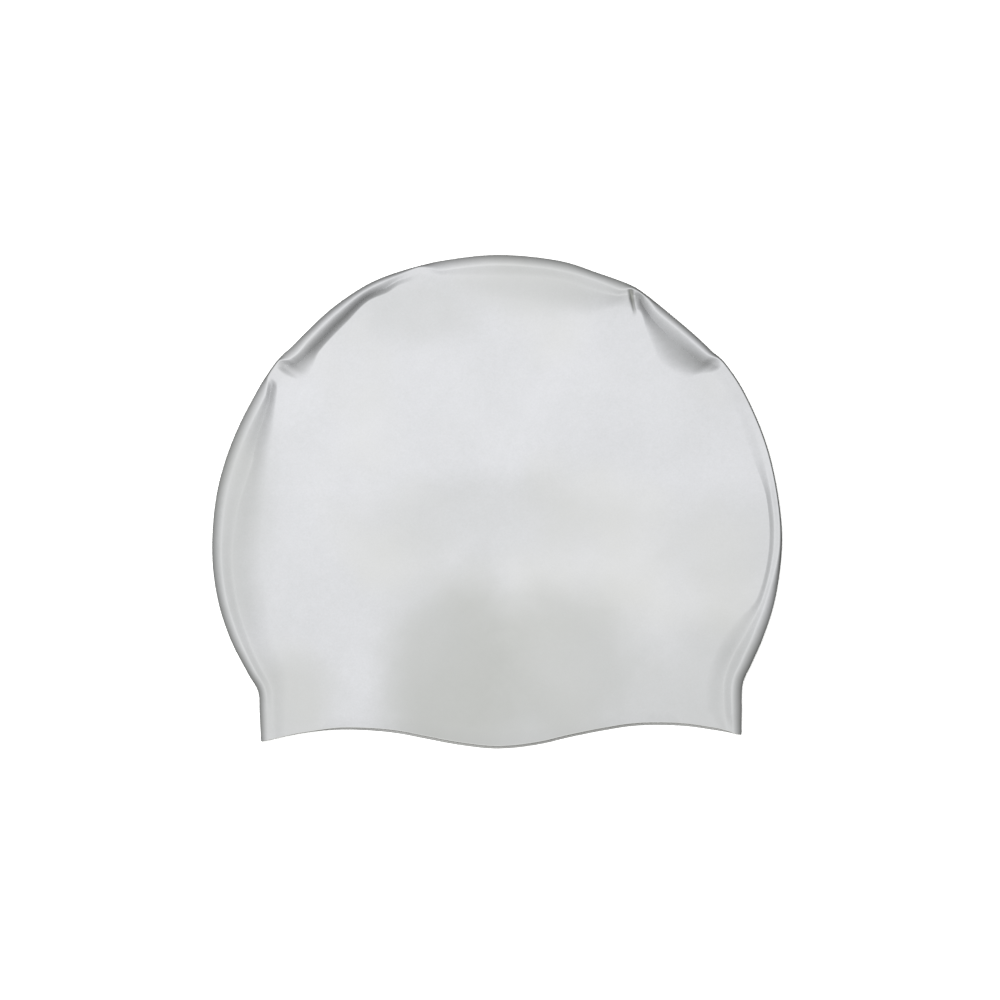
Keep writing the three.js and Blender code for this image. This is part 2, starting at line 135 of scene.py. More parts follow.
# The edge, from the left corner of the mouth over the crown to the right corner.
# across: share of half the width.  up: share of the length.  roll: height, share of ROLL_HEIGHT.
# The next three are shares of ROLL_REACH, counted from the edge inwards:
# curl: the roll's crest.  back: the bottom of the hollow behind it.  inner: the hollow's end.
# trough: depth of that hollow, share of ROLL_HEIGHT.
# soft: how its far side meets the sheet, 1 at a crisp rim and 2 in a soft curve.
EDGE_COLUMNS = ("across", "up", "roll", "curl", "back", "inner", "trough", "soft")
EDGE = (
    (-0.828, 0.014, 0.80, 0.74, 1.50, 2.60, 0.03, 1.6),
    (-0.833, 0.074, 0.88, 0.79, 1.46, 2.80, 0.05, 1.6),
    (-0.838, 0.116, 0.96, 0.79, 1.42, 3.20, 0.09, 1.7),
    (-0.872, 0.151, 1.02, 0.79, 1.45, 3.70, 0.13, 1.7),
    (-0.935, 0.222, 1.00, 0.89, 1.70, 4.40, 0.17, 1.6),
    (-0.979, 0.301, 1.00, 0.91, 1.85, 4.90, 0.18, 1.4),
    (-0.999, 0.392, 1.00, 0.95, 2.00, 5.00, 0.16, 1.4),
    (-0.987, 0.503, 1.00, 1.01, 2.40, 4.90, 0.17, 1.5),
    (-0.955, 0.580, 1.03, 1.05, 2.65, 4.50, 0.18, 1.7),
    (-0.906, 0.653, 1.03, 1.03, 2.20, 3.75, 0.29, 1.9),
    (-0.844, 0.722, 0.99, 0.98, 1.50, 2.32, 0.30, 1.8),
    (-0.822, 0.744, 0.95, 0.60, 1.07, 1.79, 0.27, 1.6),
    (-0.806, 0.758, 0.94, 0.22, 0.90, 1.40, 0.00, 1.4),
    (-0.786, 0.775, 0.94, 0.18, 0.90, 1.80, 0.00, 1.4),
    (-0.770, 0.787, 0.96, 0.20, 0.97, 3.20, 0.30, 1.9),
    (-0.746, 0.801, 1.04, 0.86, 1.64, 3.35, 0.49, 2.2),
    (-0.722, 0.813, 1.09, 0.91, 1.69, 3.08, 0.50, 2.1),
    (-0.676, 0.840, 1.08, 0.75, 1.66, 2.34, 0.62, 1.4),
    (-0.579, 0.892, 1.04, 0.68, 1.50, 2.11, 0.62, 1.5),
    (-0.471, 0.935, 0.98, 0.48, 1.08, 1.54, 0.53, 1.5),
    (-0.412, 0.952, 0.96, 0.47, 1.13, 1.65, 0.36, 1.4),
    (-0.350, 0.965, 0.95, 0.38, 0.84, 1.32, 0.10, 1.4),
    (-0.279, 0.977, 0.97, 0.16, 0.80, 1.40, 0.01, 1.5),
    (-0.195, 0.988, 1.08, 1.01, 1.50, 3.30, 0.05, 1.7),
    (0.001, 1.000, 1.12, 1.03, 2.10, 4.40, 0.10, 1.5),
    (0.228, 0.987, 1.02, 0.98, 1.90, 4.80, 0.11, 1.4),
    (0.352, 0.964, 0.96, 0.81, 1.80, 4.70, 0.15, 1.4),
    (0.440, 0.946, 0.94, 0.90, 1.50, 3.10, 0.16, 1.8),
    (0.484, 0.935, 0.94, 0.30, 0.90, 2.40, 0.10, 1.6),
    (0.508, 0.926, 0.94, 0.24, 0.64, 2.30, 0.37, 3.4),
    (0.531, 0.916, 0.96, 0.26, 1.02, 1.74, 0.46, 1.6),
    (0.583, 0.892, 0.98, 0.70, 1.56, 2.78, 0.39, 1.9),
    (0.684, 0.843, 0.97, 0.66, 1.86, 4.40, 0.53, 1.7),
    (0.733, 0.817, 0.97, 0.62, 1.67, 4.10, 0.62, 2.0),
    (0.756, 0.804, 0.97, 0.52, 1.52, 3.75, 0.62, 2.3),
    (0.784, 0.791, 0.96, 0.20, 0.92, 2.40, 0.36, 1.9),
    (0.803, 0.779, 0.96, 0.16, 0.90, 1.60, 0.00, 1.5),
    (0.863, 0.727, 0.98, 0.16, 0.90, 1.60, 0.00, 1.3),
    (0.944, 0.619, 1.00, 0.16, 0.80, 1.80, 0.03, 1.2),
    (0.989, 0.503, 0.99, 0.18, 0.72, 1.22, 0.13, 1.0),
    (1.000, 0.412, 0.98, 0.28, 0.86, 1.32, 0.10, 1.1),
    (0.975, 0.301, 1.00, 0.88, 1.26, 1.80, 0.10, 1.4),
    (0.932, 0.223, 1.12, 1.09, 1.80, 3.40, 0.14, 1.5),
    (0.892, 0.171, 1.16, 1.10, 2.05, 3.80, 0.19, 1.5),
    (0.863, 0.133, 1.12, 1.10, 1.92, 3.70, 0.15, 1.6),
    (0.859, 0.074, 1.06, 1.05, 1.80, 3.60, 0.12, 1.4),
    (0.858, 0.028, 0.92, 0.92, 1.55, 2.60, 0.05, 1.6),
)

# The mouth's wavy lip, from the left corner to the right one.
# gape: height of the front layer there, share of ROLL_HEIGHT.
# step: how far the front layer's edge stands back from the back layer's, share of LIP_STEP.
MOUTH_COLUMNS = ("across", "up", "gape", "step")
MOUTH = (
    (-0.828, 0.0142, 0.88, 0.00),
    (-0.670, 0.0324, 0.96, 0.25),
    (-0.532, 0.0385, 1.00, 0.80),
    (-0.362, 0.0322, 1.00, 1.00),
    (-0.248, 0.0200, 0.98, 1.00),
    (-0.137, 0.0081, 0.97, 1.00),
    (0.001, 0.0000, 0.96, 1.00),
    (0.140, 0.0079, 0.97, 1.00),
    (0.249, 0.0223, 0.99, 1.00),
    (0.362, 0.0356, 1.01, 1.00),
    (0.488, 0.0464, 1.02, 1.00),
    (0.651, 0.0462, 1.01, 1.00),
    (0.763, 0.0377, 0.97, 0.90),
    (0.858, 0.0283, 0.90, 0.00),
)

# Shallow dents in the front layer.
# wide: half width, share of half the width.  long: half length, share of the length.
# depth: share of CAP_LOFT.
DENT_COLUMNS = ("across", "up", "wide", "long", "depth")
DENTS = (
    (0.08, 0.25, 0.50, 0.17, 0.10),
    (-0.44, 0.62, 0.30, 0.16, 0.05),
)

# The small pleat at the upper right pinch: a groove that runs inwards from the edge and dies out.
# across, up: the middle of the groove.  wide: its half width, in millimetres.
# deep: share of PLEAT_DEPTH.
PLEAT_DEPTH = 1.6 * MM
PLEAT_COLUMNS = ("across", "up", "wide", "deep")
PLEAT = (
    (0.466, 0.937, 1.5, 0.0),
    (0.469, 0.929, 1.5, 1.0),
    (0.473, 0.912, 1.3, 1.0),
    (0.479, 0.895, 1.0, 0.7),
    (0.487, 0.876, 0.8, 0.0),
)

# Soft darker patches: partly painted shade, darker towards the bottom, along the sides and by the
# folded top edge where less light fell, and partly the pigment's own darker clouds.
# across and up: the middle.  wide: half width, share of half the width.
# long: half length, share of the length.  share: how much of SHADE_AND_CLOUD_TONE is mixed in.
PATCH_COLUMNS = ("across", "up", "wide", "long", "share")
SHADE_AND_CLOUD_PATCHES = (
    (-0.15, 0.16, 0.36, 0.27, 0.70),
    (0.21, 0.16, 0.46, 0.25, 0.62),
    (-0.10, 0.05, 0.40, 0.20, 0.40),
    (-0.76, 0.09, 0.30, 0.14, 0.40),
    (-0.98, 0.50, 0.26, 0.48, 0.42),
    (0.78, 0.12, 0.40, 0.22, 0.42),
    (-0.27, 0.885, 0.28, 0.10, 0.30),
    (0.22, 0.945, 0.46, 0.09, 0.34),
    (0.00, 0.46, 0.66, 0.13, 0.24),
    (0.78, 0.42, 0.34, 0.15, 0.22),
)
# The patches' dark olive grey, painted shade and darker pigment in one
SHADE_AND_CLOUD_TONE = (0.246, 0.251, 0.242)
PATCH_DEPTH = 60.0 * MM

# A cloud is full out to this share of its half size. Its border wanders by a noise of this scale.
PATCH_FULL = 0.35
PATCH_RAGGED_SCALE = 45.0

# The slow drifts of the pigment: the share of the finer drift in how light the sheet is, and how
# far the warm drift is moved aside so that it has its own course
FINE_DRIFT = 0.35
WARM_SHIFT = (0.31, 0.17, 0.0)

# The part of the drift that is used, and the shares of the way from the dark tone to the light
# one that its ends stand for
DRIFT_RANGE = (0.3, 0.7)
TONE_RANGE = (0.2, 0.8)

# The part of the warm drift that is used, and the most that it turns the sheet warm
WARMTH_RANGE = (0.45, 0.75)
MOST_WARMTH = 0.6

# The satin grain: the share of the pores in it, how much it shows in the sheet's tone, how much
# it changes the roughness to both sides, and how strongly it bends the light
PORE_SHARE = 0.4
GRAIN_TONE = 1.4
ROUGH_SPREAD = 0.05
GRAIN_STRENGTH = 0.5

SILICONE_IOR = 1.43

# Where the first soft cloud's nodes stand in the node editor, and how much higher the next ones
NODE_ROW = 100
NODE_ROW_STEP = 240

# How finely the shell is divided. The first two are steps from one row of a table to the next.
STEPS_PER_EDGE_ROW = 12
STEPS_PER_MOUTH_ROW = 60
ROLL_STEPS = 12
HOLLOW_RINGS = 12
SHOULDER_RINGS = 14
FLAT_RINGS = 16
FRONT_RINGS = 14
INSIDE_RINGS = 5
BACK_RINGS = 5
MOUTH_STEPS = 150
LIP_STEPS = 168
LIP_ROUND_STEPS = 6

# The photo's frame, in pixels: its size, where the cap's middle lies and how wide the cap is
PHOTO_SIZE = 1000
PHOTO_MIDDLE = (496.95, 501.85)
PHOTO_CAP_WIDTH = 570.0

# The camera: the width of its sensor in millimetres, its height and how far it sees
SENSOR = 36.0
CAMERA_HEIGHT = 5.0
CAMERA_FAR = 20.0

# The studio: half the width of the floor, how much the floor glows, the lamp, and the faint
# light from all around
FLOOR_REACH = 3.0
FLOOR_GLOW = 0.35
LAMP_PLACE = (-0.09, 0.06, 1.2)
LAMP_SIZE = 0.6
LAMP_POWER = 28.0
ROOM_TONE = (0.95, 1.0, 0.8)
ROOM_STRENGTH = 0.09


def table_column(table, columns, name):
    """One named column of a table, as an array."""
    return np.array([row[columns.index(name)] for row in table])


def named_rows(table, columns):
    """The table's rows, each with its values by the columns' names."""
    return [dict(zip(columns, row)) for row in table]


def mix(start, end, share):
    """The value that lies this share of the way from start to end."""
    return start + (end - start) * share


def smooth(value):
    """Eases from 0 to 1 with no kink at either end."""
    value = np.clip(value, 0.0, 1.0)
    return value * value * (3.0 - 2.0 * value)


def places(table, columns):
    """The table's rows as places on the floor."""
    across = table_column(table, columns, "across") * HALF_WIDTH
    up = (table_column(table, columns, "up") - 0.5) * CAP_LENGTH
    return np.stack([across, up], axis=1)


def curve_through(points, steps):
    """A smooth line through the points, with this many steps from each one to the next."""
    before = 2 * points[0] - points[1]
    after = 2 * points[-1] - points[-2]
    knots = np.vstack([before, points, after])
    gaps = np.sqrt(np.linalg.norm(np.diff(knots, axis=0), axis=1))
    line = []
    for span in range(len(points) - 1):
        a, b, c, d = knots[span:span + 4]
        first, here, last = gaps[span:span + 3]
        leave = ((b - a) / first - (c - a) / (first + here) + (c - b) / here) * here
        arrive = ((c - b) / here - (d - b) / (here + last) + (d - c) / last) * here
        for step in range(steps):
            t = step / steps
            line.append(
                (2 * t**3 - 3 * t**2 + 1) * b
                + (t**3 - 2 * t**2 + t) * leave
                + (3 * t**2 - 2 * t**3) * c
                + (t**3 - t**2) * arrive
            )
    line.append(points[-1])
    return np.array(line)


def eased_through(knots, values, at):
    """A smooth course through the values at the knots that never runs past them."""
    widths = np.diff(knots)
    rises = np.diff(values) / widths
    slopes = np.zeros(len(values))
    turns = rises[:-1] * rises[1:] <= 0.0
    before = widths[:-1] + 2.0 * widths[1:]
    after = 2.0 * widths[:-1] + widths[1:]
    left = np.where(turns, 1.0, rises[:-1])
    right = np.where(turns, 1.0, rises[1:])
    slopes[1:-1] = np.where(turns, 0.0, (before + after) / (before / left + after / right))
    span = np.clip(np.searchsorted(knots, at, side="right") - 1, 0, len(widths) - 1)
    t = (at - knots[span]) / widths[span]
    return (
        (2 * t**3 - 3 * t**2 + 1) * values[span]
        + (t**3 - 2 * t**2 + t) * widths[span] * slopes[span]
        + (3 * t**2 - 2 * t**3) * values[span + 1]
        + (t**3 - t**2) * widths[span] * slopes[span + 1]
    )


def run_along(line):
    """The distance along a line at each of its points."""
    steps = np.linalg.norm(np.diff(line, axis=0), axis=1)
    return np.concatenate([[0.0], np.cumsum(steps)])


def dome_height(spot):
    """The front layer's own height, a low dome, before the roll, its hollow and the dents."""
    across = (spot[:, 0] - MIDDLE[0]) / HALF_WIDTH
    along = (spot[:, 1] - MIDDLE[1]) / (CAP_LENGTH / 2)
    return CAP_LOFT - (CAP_LOFT - DOME_EDGE) * (across**2 + along**2)


class Mouth:
    """The mouth's wavy line, with its heights and the step between its two lips."""

    def __init__(self):
        self.line = curve_through(places(MOUTH, MOUTH_COLUMNS), STEPS_PER_MOUTH_ROW)
        self.run = run_along(self.line)
        self.length = self.run[-1]

    def at(self, distance):
        """Places this far along the line from its left corner."""
        distance = np.clip(distance, 0.0, self.length)
        x = np.interp(distance, self.run, self.line[:, 0])
        y = np.interp(distance, self.run, self.line[:, 1])
        return np.stack([x, y], axis=-1)

    def outwards(self, distance):
        """The way out of the mouth, square to its line."""
        ahead = self.at(distance + MM)
        behind = self.at(distance - MM)
        along = ahead - behind
        out = np.stack([along[..., 1], -along[..., 0]], axis=-1)
        return out / np.linalg.norm(out, axis=-1, keepdims=True)

    def column(self, name, x):
        """A column of the mouth's table at a place across, eased between rows."""
        across = table_column(MOUTH, MOUTH_COLUMNS, "across")
        values = table_column(MOUTH, MOUTH_COLUMNS, name)
        share = np.clip(x / HALF_WIDTH, across[0], across[-1])
        row = np.clip(np.searchsorted(across, share) - 1, 0, len(across) - 2)
        way = (share - across[row]) / (across[row + 1] - across[row])
        return mix(values[row], values[row + 1], smooth(way))

    def lip_step(self, x):
        """How far the front layer's lip stands back from the back layer's at a place across."""
        return self.column("step", x) * LIP_STEP


class Edge:
    """The cap's outline with the roll and the fold that lie behind it at each station."""

    def __init__(self, mouth):
        self.mouth = mouth
        self.points = curve_through(places(EDGE, EDGE_COLUMNS), STEPS_PER_EDGE_ROW)
        self.count = len(self.points)
        run = run_along(self.points)
        self.from_left = run
        self.from_right = run[-1] - run
        along = self.along(run + NORMAL_REACH) - self.along(run - NORMAL_REACH)
        along /= np.linalg.norm(along, axis=1, keepdims=True)
        self.inwards = np.stack([along[:, 1], -along[:, 0]], axis=1)
        self.roll = self.size("roll") * ROLL_HEIGHT
        self.curl = self.size("curl") * ROLL_REACH
        self.back = self.size("back") * ROLL_REACH
        self.inner = self.size("inner") * ROLL_REACH
        self.trough = self.size("trough") * ROLL_HEIGHT
        self.soft = self.size("soft")

    def along(self, distance):
        """Places this far along the outline from its left corner."""
        x = np.interp(distance, self.from_left, self.points[:, 0])
        y = np.interp(distance, self.from_left, self.points[:, 1])
        return np.stack([x, y], axis=1)

    def size(self, name):
        """A column of the edge's table at every station."""
        values = table_column(EDGE, EDGE_COLUMNS, name)
        return eased_through(self.from_left[::STEPS_PER_EDGE_ROW], values, self.from_left)

    def place(self, distance):
        """Places this far inwards of the stations. Near a corner they follow the mouth's line."""
        distance = np.broadcast_to(distance, (self.count,))
        straight = self.points + self.inwards * distance[:, None]
        near_left = self.from_left < self.from_right
        from_corner = np.where(near_left, self.from_left, self.from_right)
        share = smooth(from_corner / CORNER_BLEND)[:, None]
        left = self.mouth.at(distance) - self.mouth.at(0.0)
        right = self.mouth.at(self.mouth.length - distance) - self.mouth.at(self.mouth.length)
        beside = self.points + np.where(near_left[:, None], left, right)
        return mix(beside, straight, share)

    def band_place(self, distance):
        """As place, but near a corner it keeps to the front layer's own lip."""
        spot = self.place(distance)
        from_corner = np.minimum(self.from_left, self.from_right)
        near = 1.0 - smooth(from_corner / CORNER_BLEND)
        spot[:, 1] += self.mouth.lip_step(spot[:, 0]) * near
        return spot

    def hollow_share(self, distance):
        """How much of the hollow's depth is reached at a distance from the edge."""
        near_width = self.back - self.curl
        far_width = self.inner - self.back
        near = np.clip((distance - self.curl) / near_width, 0.0, 1.0)
        far = np.clip((self.inner - distance) / far_width, 0.0, 1.0)
        bend = NEAR_BEND * self.trough / ROLL_HEIGHT * np.minimum(1.0, near_width / far_width)
        share = np.where(distance < self.back, near ** (1.0 + bend), far**self.soft)
        rounding = 1.0 - np.clip(self.trough / SHARP_TROUGH, 0.0, 1.0)
        return share + rounding * share**2 * (1.0 - share)

    def fold_shade_share(self, distance):
        """How far the sheet's colour goes to its painted fold shade: 0 outside the hollow."""
        depth = self.trough / FOLD_SHADE_TROUGH
        return FOLD_SHADE_SHARE * depth * self.hollow_share(distance) ** FOLD_SHADE_POWER

    def band_height(self, distance):
        """Height of the front layer's outer face in the band behind the roll."""
        way = self.inner - self.curl
        done = np.clip((distance - self.curl) / way, 0.0, 1.0)
        ease = 1.0 + np.clip(way / LONG_RISE, 0.0, 1.0)
        rise = 1.0 - (1.0 - done) ** ease
        own = dome_height(self.band_place(distance))
        return mix(self.roll, own, rise) - self.trough * self.hollow_share(distance)

    def rings(self):
        """The distances of the rings in the band, one array per ring."""
        distances = []
        for ring in range(1, HOLLOW_RINGS + 1):
            distances.append(mix(self.curl, self.back, ring / HOLLOW_RINGS))
        for ring in range(1, SHOULDER_RINGS + 1):
            distances.append(mix(self.back, self.inner, ring / SHOULDER_RINGS))
        for ring in range(1, FLAT_RINGS + 1):
            distances.append(mix(self.inner, BAND, (ring / FLAT_RINGS) ** BAND_SPREAD))
        return distances


def dent_depth(spot):
    """How deep the dents are at some places."""
    depth = np.zeros(len(spot))
    for dent in named_rows(DENTS, DENT_COLUMNS):
        x = dent["across"] * HALF_WIDTH
        y = (dent["up"] - 0.5) * CAP_LENGTH
        reach_x = (spot[:, 0] - x) / (dent["wide"] * HALF_WIDTH)
        reach_y = (spot[:, 1] - y) / (dent["long"] * CAP_LENGTH)
        depth += dent["depth"] * CAP_LOFT * (1.0 - smooth(np.hypot(reach_x, reach_y)))
    return depth


def pleat_share(spot):
    """How deep the small pleat is at some places, as a share of PLEAT_DEPTH."""
    line = places(PLEAT, PLEAT_COLUMNS)[::-1]
    wide = table_column(PLEAT, PLEAT_COLUMNS, "wide")[::-1] * MM
    deep = table_column(PLEAT, PLEAT_COLUMNS, "deep")[::-1]
    aside = np.abs(spot[:, 0] - np.interp(spot[:, 1], line[:, 1], line[:, 0]))
    half = np.interp(spot[:, 1], line[:, 1], wide)
    share = np.interp(spot[:, 1], line[:, 1], deep, left=0.0, right=0.0)
    return share * (1.0 - smooth(aside / half))


def slow_wave(distance, wave):
    """A wave between -1 and 1 along a distance."""
    radians, shift = wave
    return np.sin(distance * radians + shift)


def back_lift(spot, share):
    """How far the back layer lifts off the floor, in full from halfway to its middle."""
    across = slow_wave(spot[:, 0], BACK_WAVE_ACROSS)
    up = slow_wave(spot[:, 1], BACK_WAVE_UP)
    wave = 0.5 + 0.25 * across + 0.25 * up
    return BACK_LIFT * wave * smooth(share * 2.0)


def inner_height(outer, slope):
    """The inner face lies the wall's thickness below the outer one."""
    drop = WALL * np.minimum(SLOPE_LIMIT, np.hypot(1.0, slope))
    return np.maximum(WALL + LEAST_GAP, outer - drop)


class ShellMesh:
    """Vertices and faces of the shell while it is made."""

    def __init__(self):
        self.vertices = []
        self.faces = []
        self.slots = []
        self.creases = []
        # Share of painted fold shade at each vertex
        self.fold_shades = []

    def row(self, spot, height, fold=0.0):
        """Adds one row of vertices and returns their numbers."""
        height = np.broadcast_to(height, (len(spot),))
        start = len(self.vertices)
        self.vertices.extend(np.column_stack([spot, height]).tolist())
        self.fold_shades.extend(np.broadcast_to(fold, (len(spot),)).tolist())
        return list(range(start, len(self.vertices)))

    def join(self, low, high, flip, slot):
        """Adds the faces between two rows."""
        for i in range(len(low) - 1):
            if flip:
                self.faces.append((low[i], low[i + 1], high[i + 1], high[i]))
            else:
                self.faces.append((low[i], high[i], high[i + 1], low[i + 1]))
            self.slots.append(slot)

    def close(self, ring, middle, flip, slot):
        """Adds the faces between a ring and the vertex in its middle."""
        for i in range(len(ring) - 1):
            if flip:
                self.faces.append((ring[i], ring[i + 1], middle))
            else:
                self.faces.append((ring[i], middle, ring[i + 1]))
            self.slots.append(slot)


def closed(row):
    """The row with its first vertex once more at its end."""
    return row + row[:1]


def mouth_row(mouth):
    """The front layer's edge over the mouth, left to right.

    Its places, how far it droops below the dome there, and the ways out.
    """
    share = np.arange(1, MOUTH_STEPS) / MOUTH_STEPS
    distance = mix(BAND, mouth.length - BAND, share)
    spot = mouth.at(distance)
    gape = mouth.column("gape", spot[:, 0]) * ROLL_HEIGHT
    own = smooth(np.minimum(share, 1 - share) / MOUTH_BLEND)
    spot[:, 1] += mouth.lip_step(spot[:, 0])
    return spot, own * (dome_height(spot) - gape), mouth.outwards(distance)


def build_skin(shell, edge, mouth, inset, slot):
    """One skin of the shell: the outer one with inset 0, the inner one with the wall as inset.

    Returns the vertices around the mouth from the back layer's left end, and the ways out there.
    """
    outside = inset == 0.0
    flip = not outside
    ends_out = np.array([edge.points[0] - edge.points[1], edge.points[-1] - edge.points[-2]])
    ends_out /= np.linalg.norm(ends_out, axis=1, keepdims=True)

    def drawn_back(spot):
        """The rows start where the lip's rounding ends."""
        spot = spot.copy()
        spot[0] -= ends_out[0] * LIP_ROUND
        spot[-1] -= ends_out[1] * LIP_ROUND
        return spot

    rows = []
    half = edge.roll / 2
    turn = 0.0 if outside else TURN_WALL
    for k in range(ROLL_STEPS + 1):
        angle = mix(-math.pi / 2, math.pi / 2, k / ROLL_STEPS)
        lift = math.copysign(abs(math.sin(angle)) ** ROLL_POWER, angle)
        reach = edge.curl - (edge.curl - turn) * math.cos(angle)
        height = half + (half - inset) * lift
        rows.append(shell.row(drawn_back(edge.place(reach)), height))
    for distance in edge.rings():
        spot = edge.band_place(distance)
        slope = edge.band_height(distance + SLOPE_REACH) - edge.band_height(distance - SLOPE_REACH)
        pleat = pleat_share(spot)
        height = edge.band_height(distance) - dent_depth(spot) - pleat * PLEAT_DEPTH
        # The hollow and the pleat's groove both get painted shade in the colour
        fold = np.maximum(edge.fold_shade_share(distance), pleat)
        if not outside:
            height = inner_height(height, slope / (2 * SLOPE_REACH))
        rows.append(shell.row(drawn_back(spot), height, fold))
    bottom = ROLL_STEPS + HOLLOW_RINGS
    rim = bottom + SHOULDER_RINGS
    shell.creases.append(np.array(rows[bottom])[edge.trough > CREASED_TROUGH])
    shell.creases.append(np.array(rows[rim])[edge.soft < CRISP_RIM])
    for low, high in zip(rows, rows[1:]):
        shell.join(low, high, flip, slot)

    spot, droop, out = mouth_row(mouth)
    top = dome_height(spot) - droop - dent_depth(spot)
    if not outside:
        top = inner_height(top, 0.0)
    front_lip = shell.row((spot - out * LIP_ROUND)[::-1], top[::-1])
    band_end = edge.band_place(np.full(edge.count, BAND))
    rim_spot = np.vstack([band_end, spot[::-1]])
    rim_droop = np.concatenate([np.zeros(edge.count), droop[::-1]])
    previous = rows[-1] + front_lip
    rings = FRONT_RINGS if outside else INSIDE_RINGS
    for k in range(1, rings + 1):
        share = k / (rings + 1)
        ring_spot = mix(rim_spot, MIDDLE, share)
        ring_height = dome_height(ring_spot)
        ring_height -= rim_droop * (1 - share) ** MOUTH_POWER + dent_depth(ring_spot)
        if not outside:
            ring_height = inner_height(ring_height, 0.0)
        ring = shell.row(ring_spot, ring_height)
        shell.join(closed(previous), closed(ring), flip, slot)
        previous = ring
    summit = np.array([CAP_LOFT]) - dent_depth(MIDDLE[None, :])
    if not outside:
        summit = inner_height(summit, 0.0)
    shell.close(closed(previous), shell.row(MIDDLE[None, :], summit)[0], flip, slot)

    share = np.arange(1, LIP_STEPS) / LIP_STEPS
    distance = mix(edge.curl[0], mouth.length - edge.curl[-1], share)
    lip_spot = mouth.at(distance)
    lip_out = mouth.outwards(distance)
    back_lip = shell.row(lip_spot - lip_out * LIP_ROUND, inset)
    rim_spot = np.vstack([edge.place(edge.curl), lip_spot[::-1]])
    previous = rows[0] + back_lip[::-1]
    for k in range(1, BACK_RINGS + 1):
        share = k / (BACK_RINGS + 1)
        ring_spot = mix(rim_spot, MIDDLE, share)
        ring = shell.row(ring_spot, inset + back_lift(ring_spot, share))
        shell.join(closed(previous), closed(ring), not flip, slot)
        previous = ring
    middle_height = inset + back_lift(MIDDLE[None, :], 1.0)
    shell.close(closed(previous), shell.row(MIDDLE[None, :], middle_height)[0], not flip, slot)

    right_side = [row[-1] for row in rows]
    left_side = [row[0] for row in reversed(rows)]
    boundary = back_lip + right_side + front_lip + left_side
    ways = np.vstack([
        lip_out,
        np.tile(ends_out[1], (len(rows), 1)),
        out[::-1],
        np.tile(ends_out[0], (len(rows), 1)),
    ])
    return boundary, ways


def round_lip(shell, outer, inner, ways, slot):
    """The cut edge around the mouth, rounded from the outer skin over to the inner one."""
    corners = np.array(shell.vertices)
    outer_spot = corners[outer]
    inner_spot = corners[inner]
    way = np.column_stack([ways, np.zeros(len(ways))])
    middle = (outer_spot + inner_spot) / 2
    half = (outer_spot - inner_spot) / 2
    previous = outer
    for k in range(1, LIP_ROUND_STEPS):
        angle = math.pi * k / LIP_ROUND_STEPS
        spot = middle + half * math.cos(angle) + way * LIP_ROUND * math.sin(angle) ** LIP_POWER
        ring = shell.row(spot[:, :2], spot[:, 2])
        shell.join(closed(previous), closed(ring), True, slot)
        previous = ring
    shell.join(closed(previous), closed(inner), True, slot)


def mark_creases(mesh, creases):
    """Marks the edges along each row of creases as sharp."""
    crease_of = np.full(len(mesh.vertices), -1)
    for number, row in enumerate(creases):
        crease_of[row] = number
    ends = np.zeros(2 * len(mesh.edges), dtype=np.int32)
    mesh.edges.foreach_get("vertices", ends)
    crease = crease_of[ends.reshape(-1, 2)]
    mesh.edges.foreach_set("use_edge_sharp", (crease[:, 0] >= 0) & (crease[:, 0] == crease[:, 1]))


def build_cap():
    """The whole cap as one shell."""
    mouth = Mouth()
    edge = Edge(mouth)
    shell = ShellMesh()
    outer, ways = build_skin(shell, edge, mouth, 0.0, OUTSIDE)
    inner, _ = build_skin(shell, edge, mouth, WALL, INSIDE)
    round_lip(shell, outer, inner, ways, LIP)
    mesh = bpy.data.meshes.new("cap_moulding")
    mesh.from_pydata(shell.vertices, [], shell.faces)
    mesh.polygons.foreach_set("material_index", shell.slots)
    mesh.polygons.foreach_set("use_smooth", [True] * len(mesh.polygons))
    mesh.update()
    mark_creases(mesh, shell.creases)
    # Each vertex's share of painted fold shade, read by the material
    fold_shades = mesh.attributes.new("fold_shade_share", "FLOAT", "POINT")
    fold_shades.data.foreach_set("value", shell.fold_shades)
    cap = bpy.data.objects.new("cap_moulding", mesh)
    bpy.context.scene.collection.objects.link(cap)
    return cap


def new_node(tree, kind, place, **values):
    """Adds a node. Values name its sockets, with _ for a space, or its settings."""
    node = tree.nodes.new(kind)
    node.location = place
    for name, value in values.items():
        if hasattr(node, name):
            setattr(node, name, value)
        else:
            node.inputs[name.replace("_", " ")].default_value = value
    return node


def new_group(name, inputs, outputs):
    """An empty shader node group with named sockets, its input node and its output node."""
    group = bpy.data.node_groups.new(name, "ShaderNodeTree")
    for socket, kind, value in inputs:
        made = group.interface.new_socket(socket, in_out="INPUT", socket_type=kind)
        if value is not None:
            made.default_value = value
    for socket, kind in outputs:
        group.interface.new_socket(socket, in_out="OUTPUT", socket_type=kind)
    start = new_node(group, "NodeGroupInput", (-900, 0))
    end = new_node(group, "NodeGroupOutput", (900, 0))
    return group, start, end


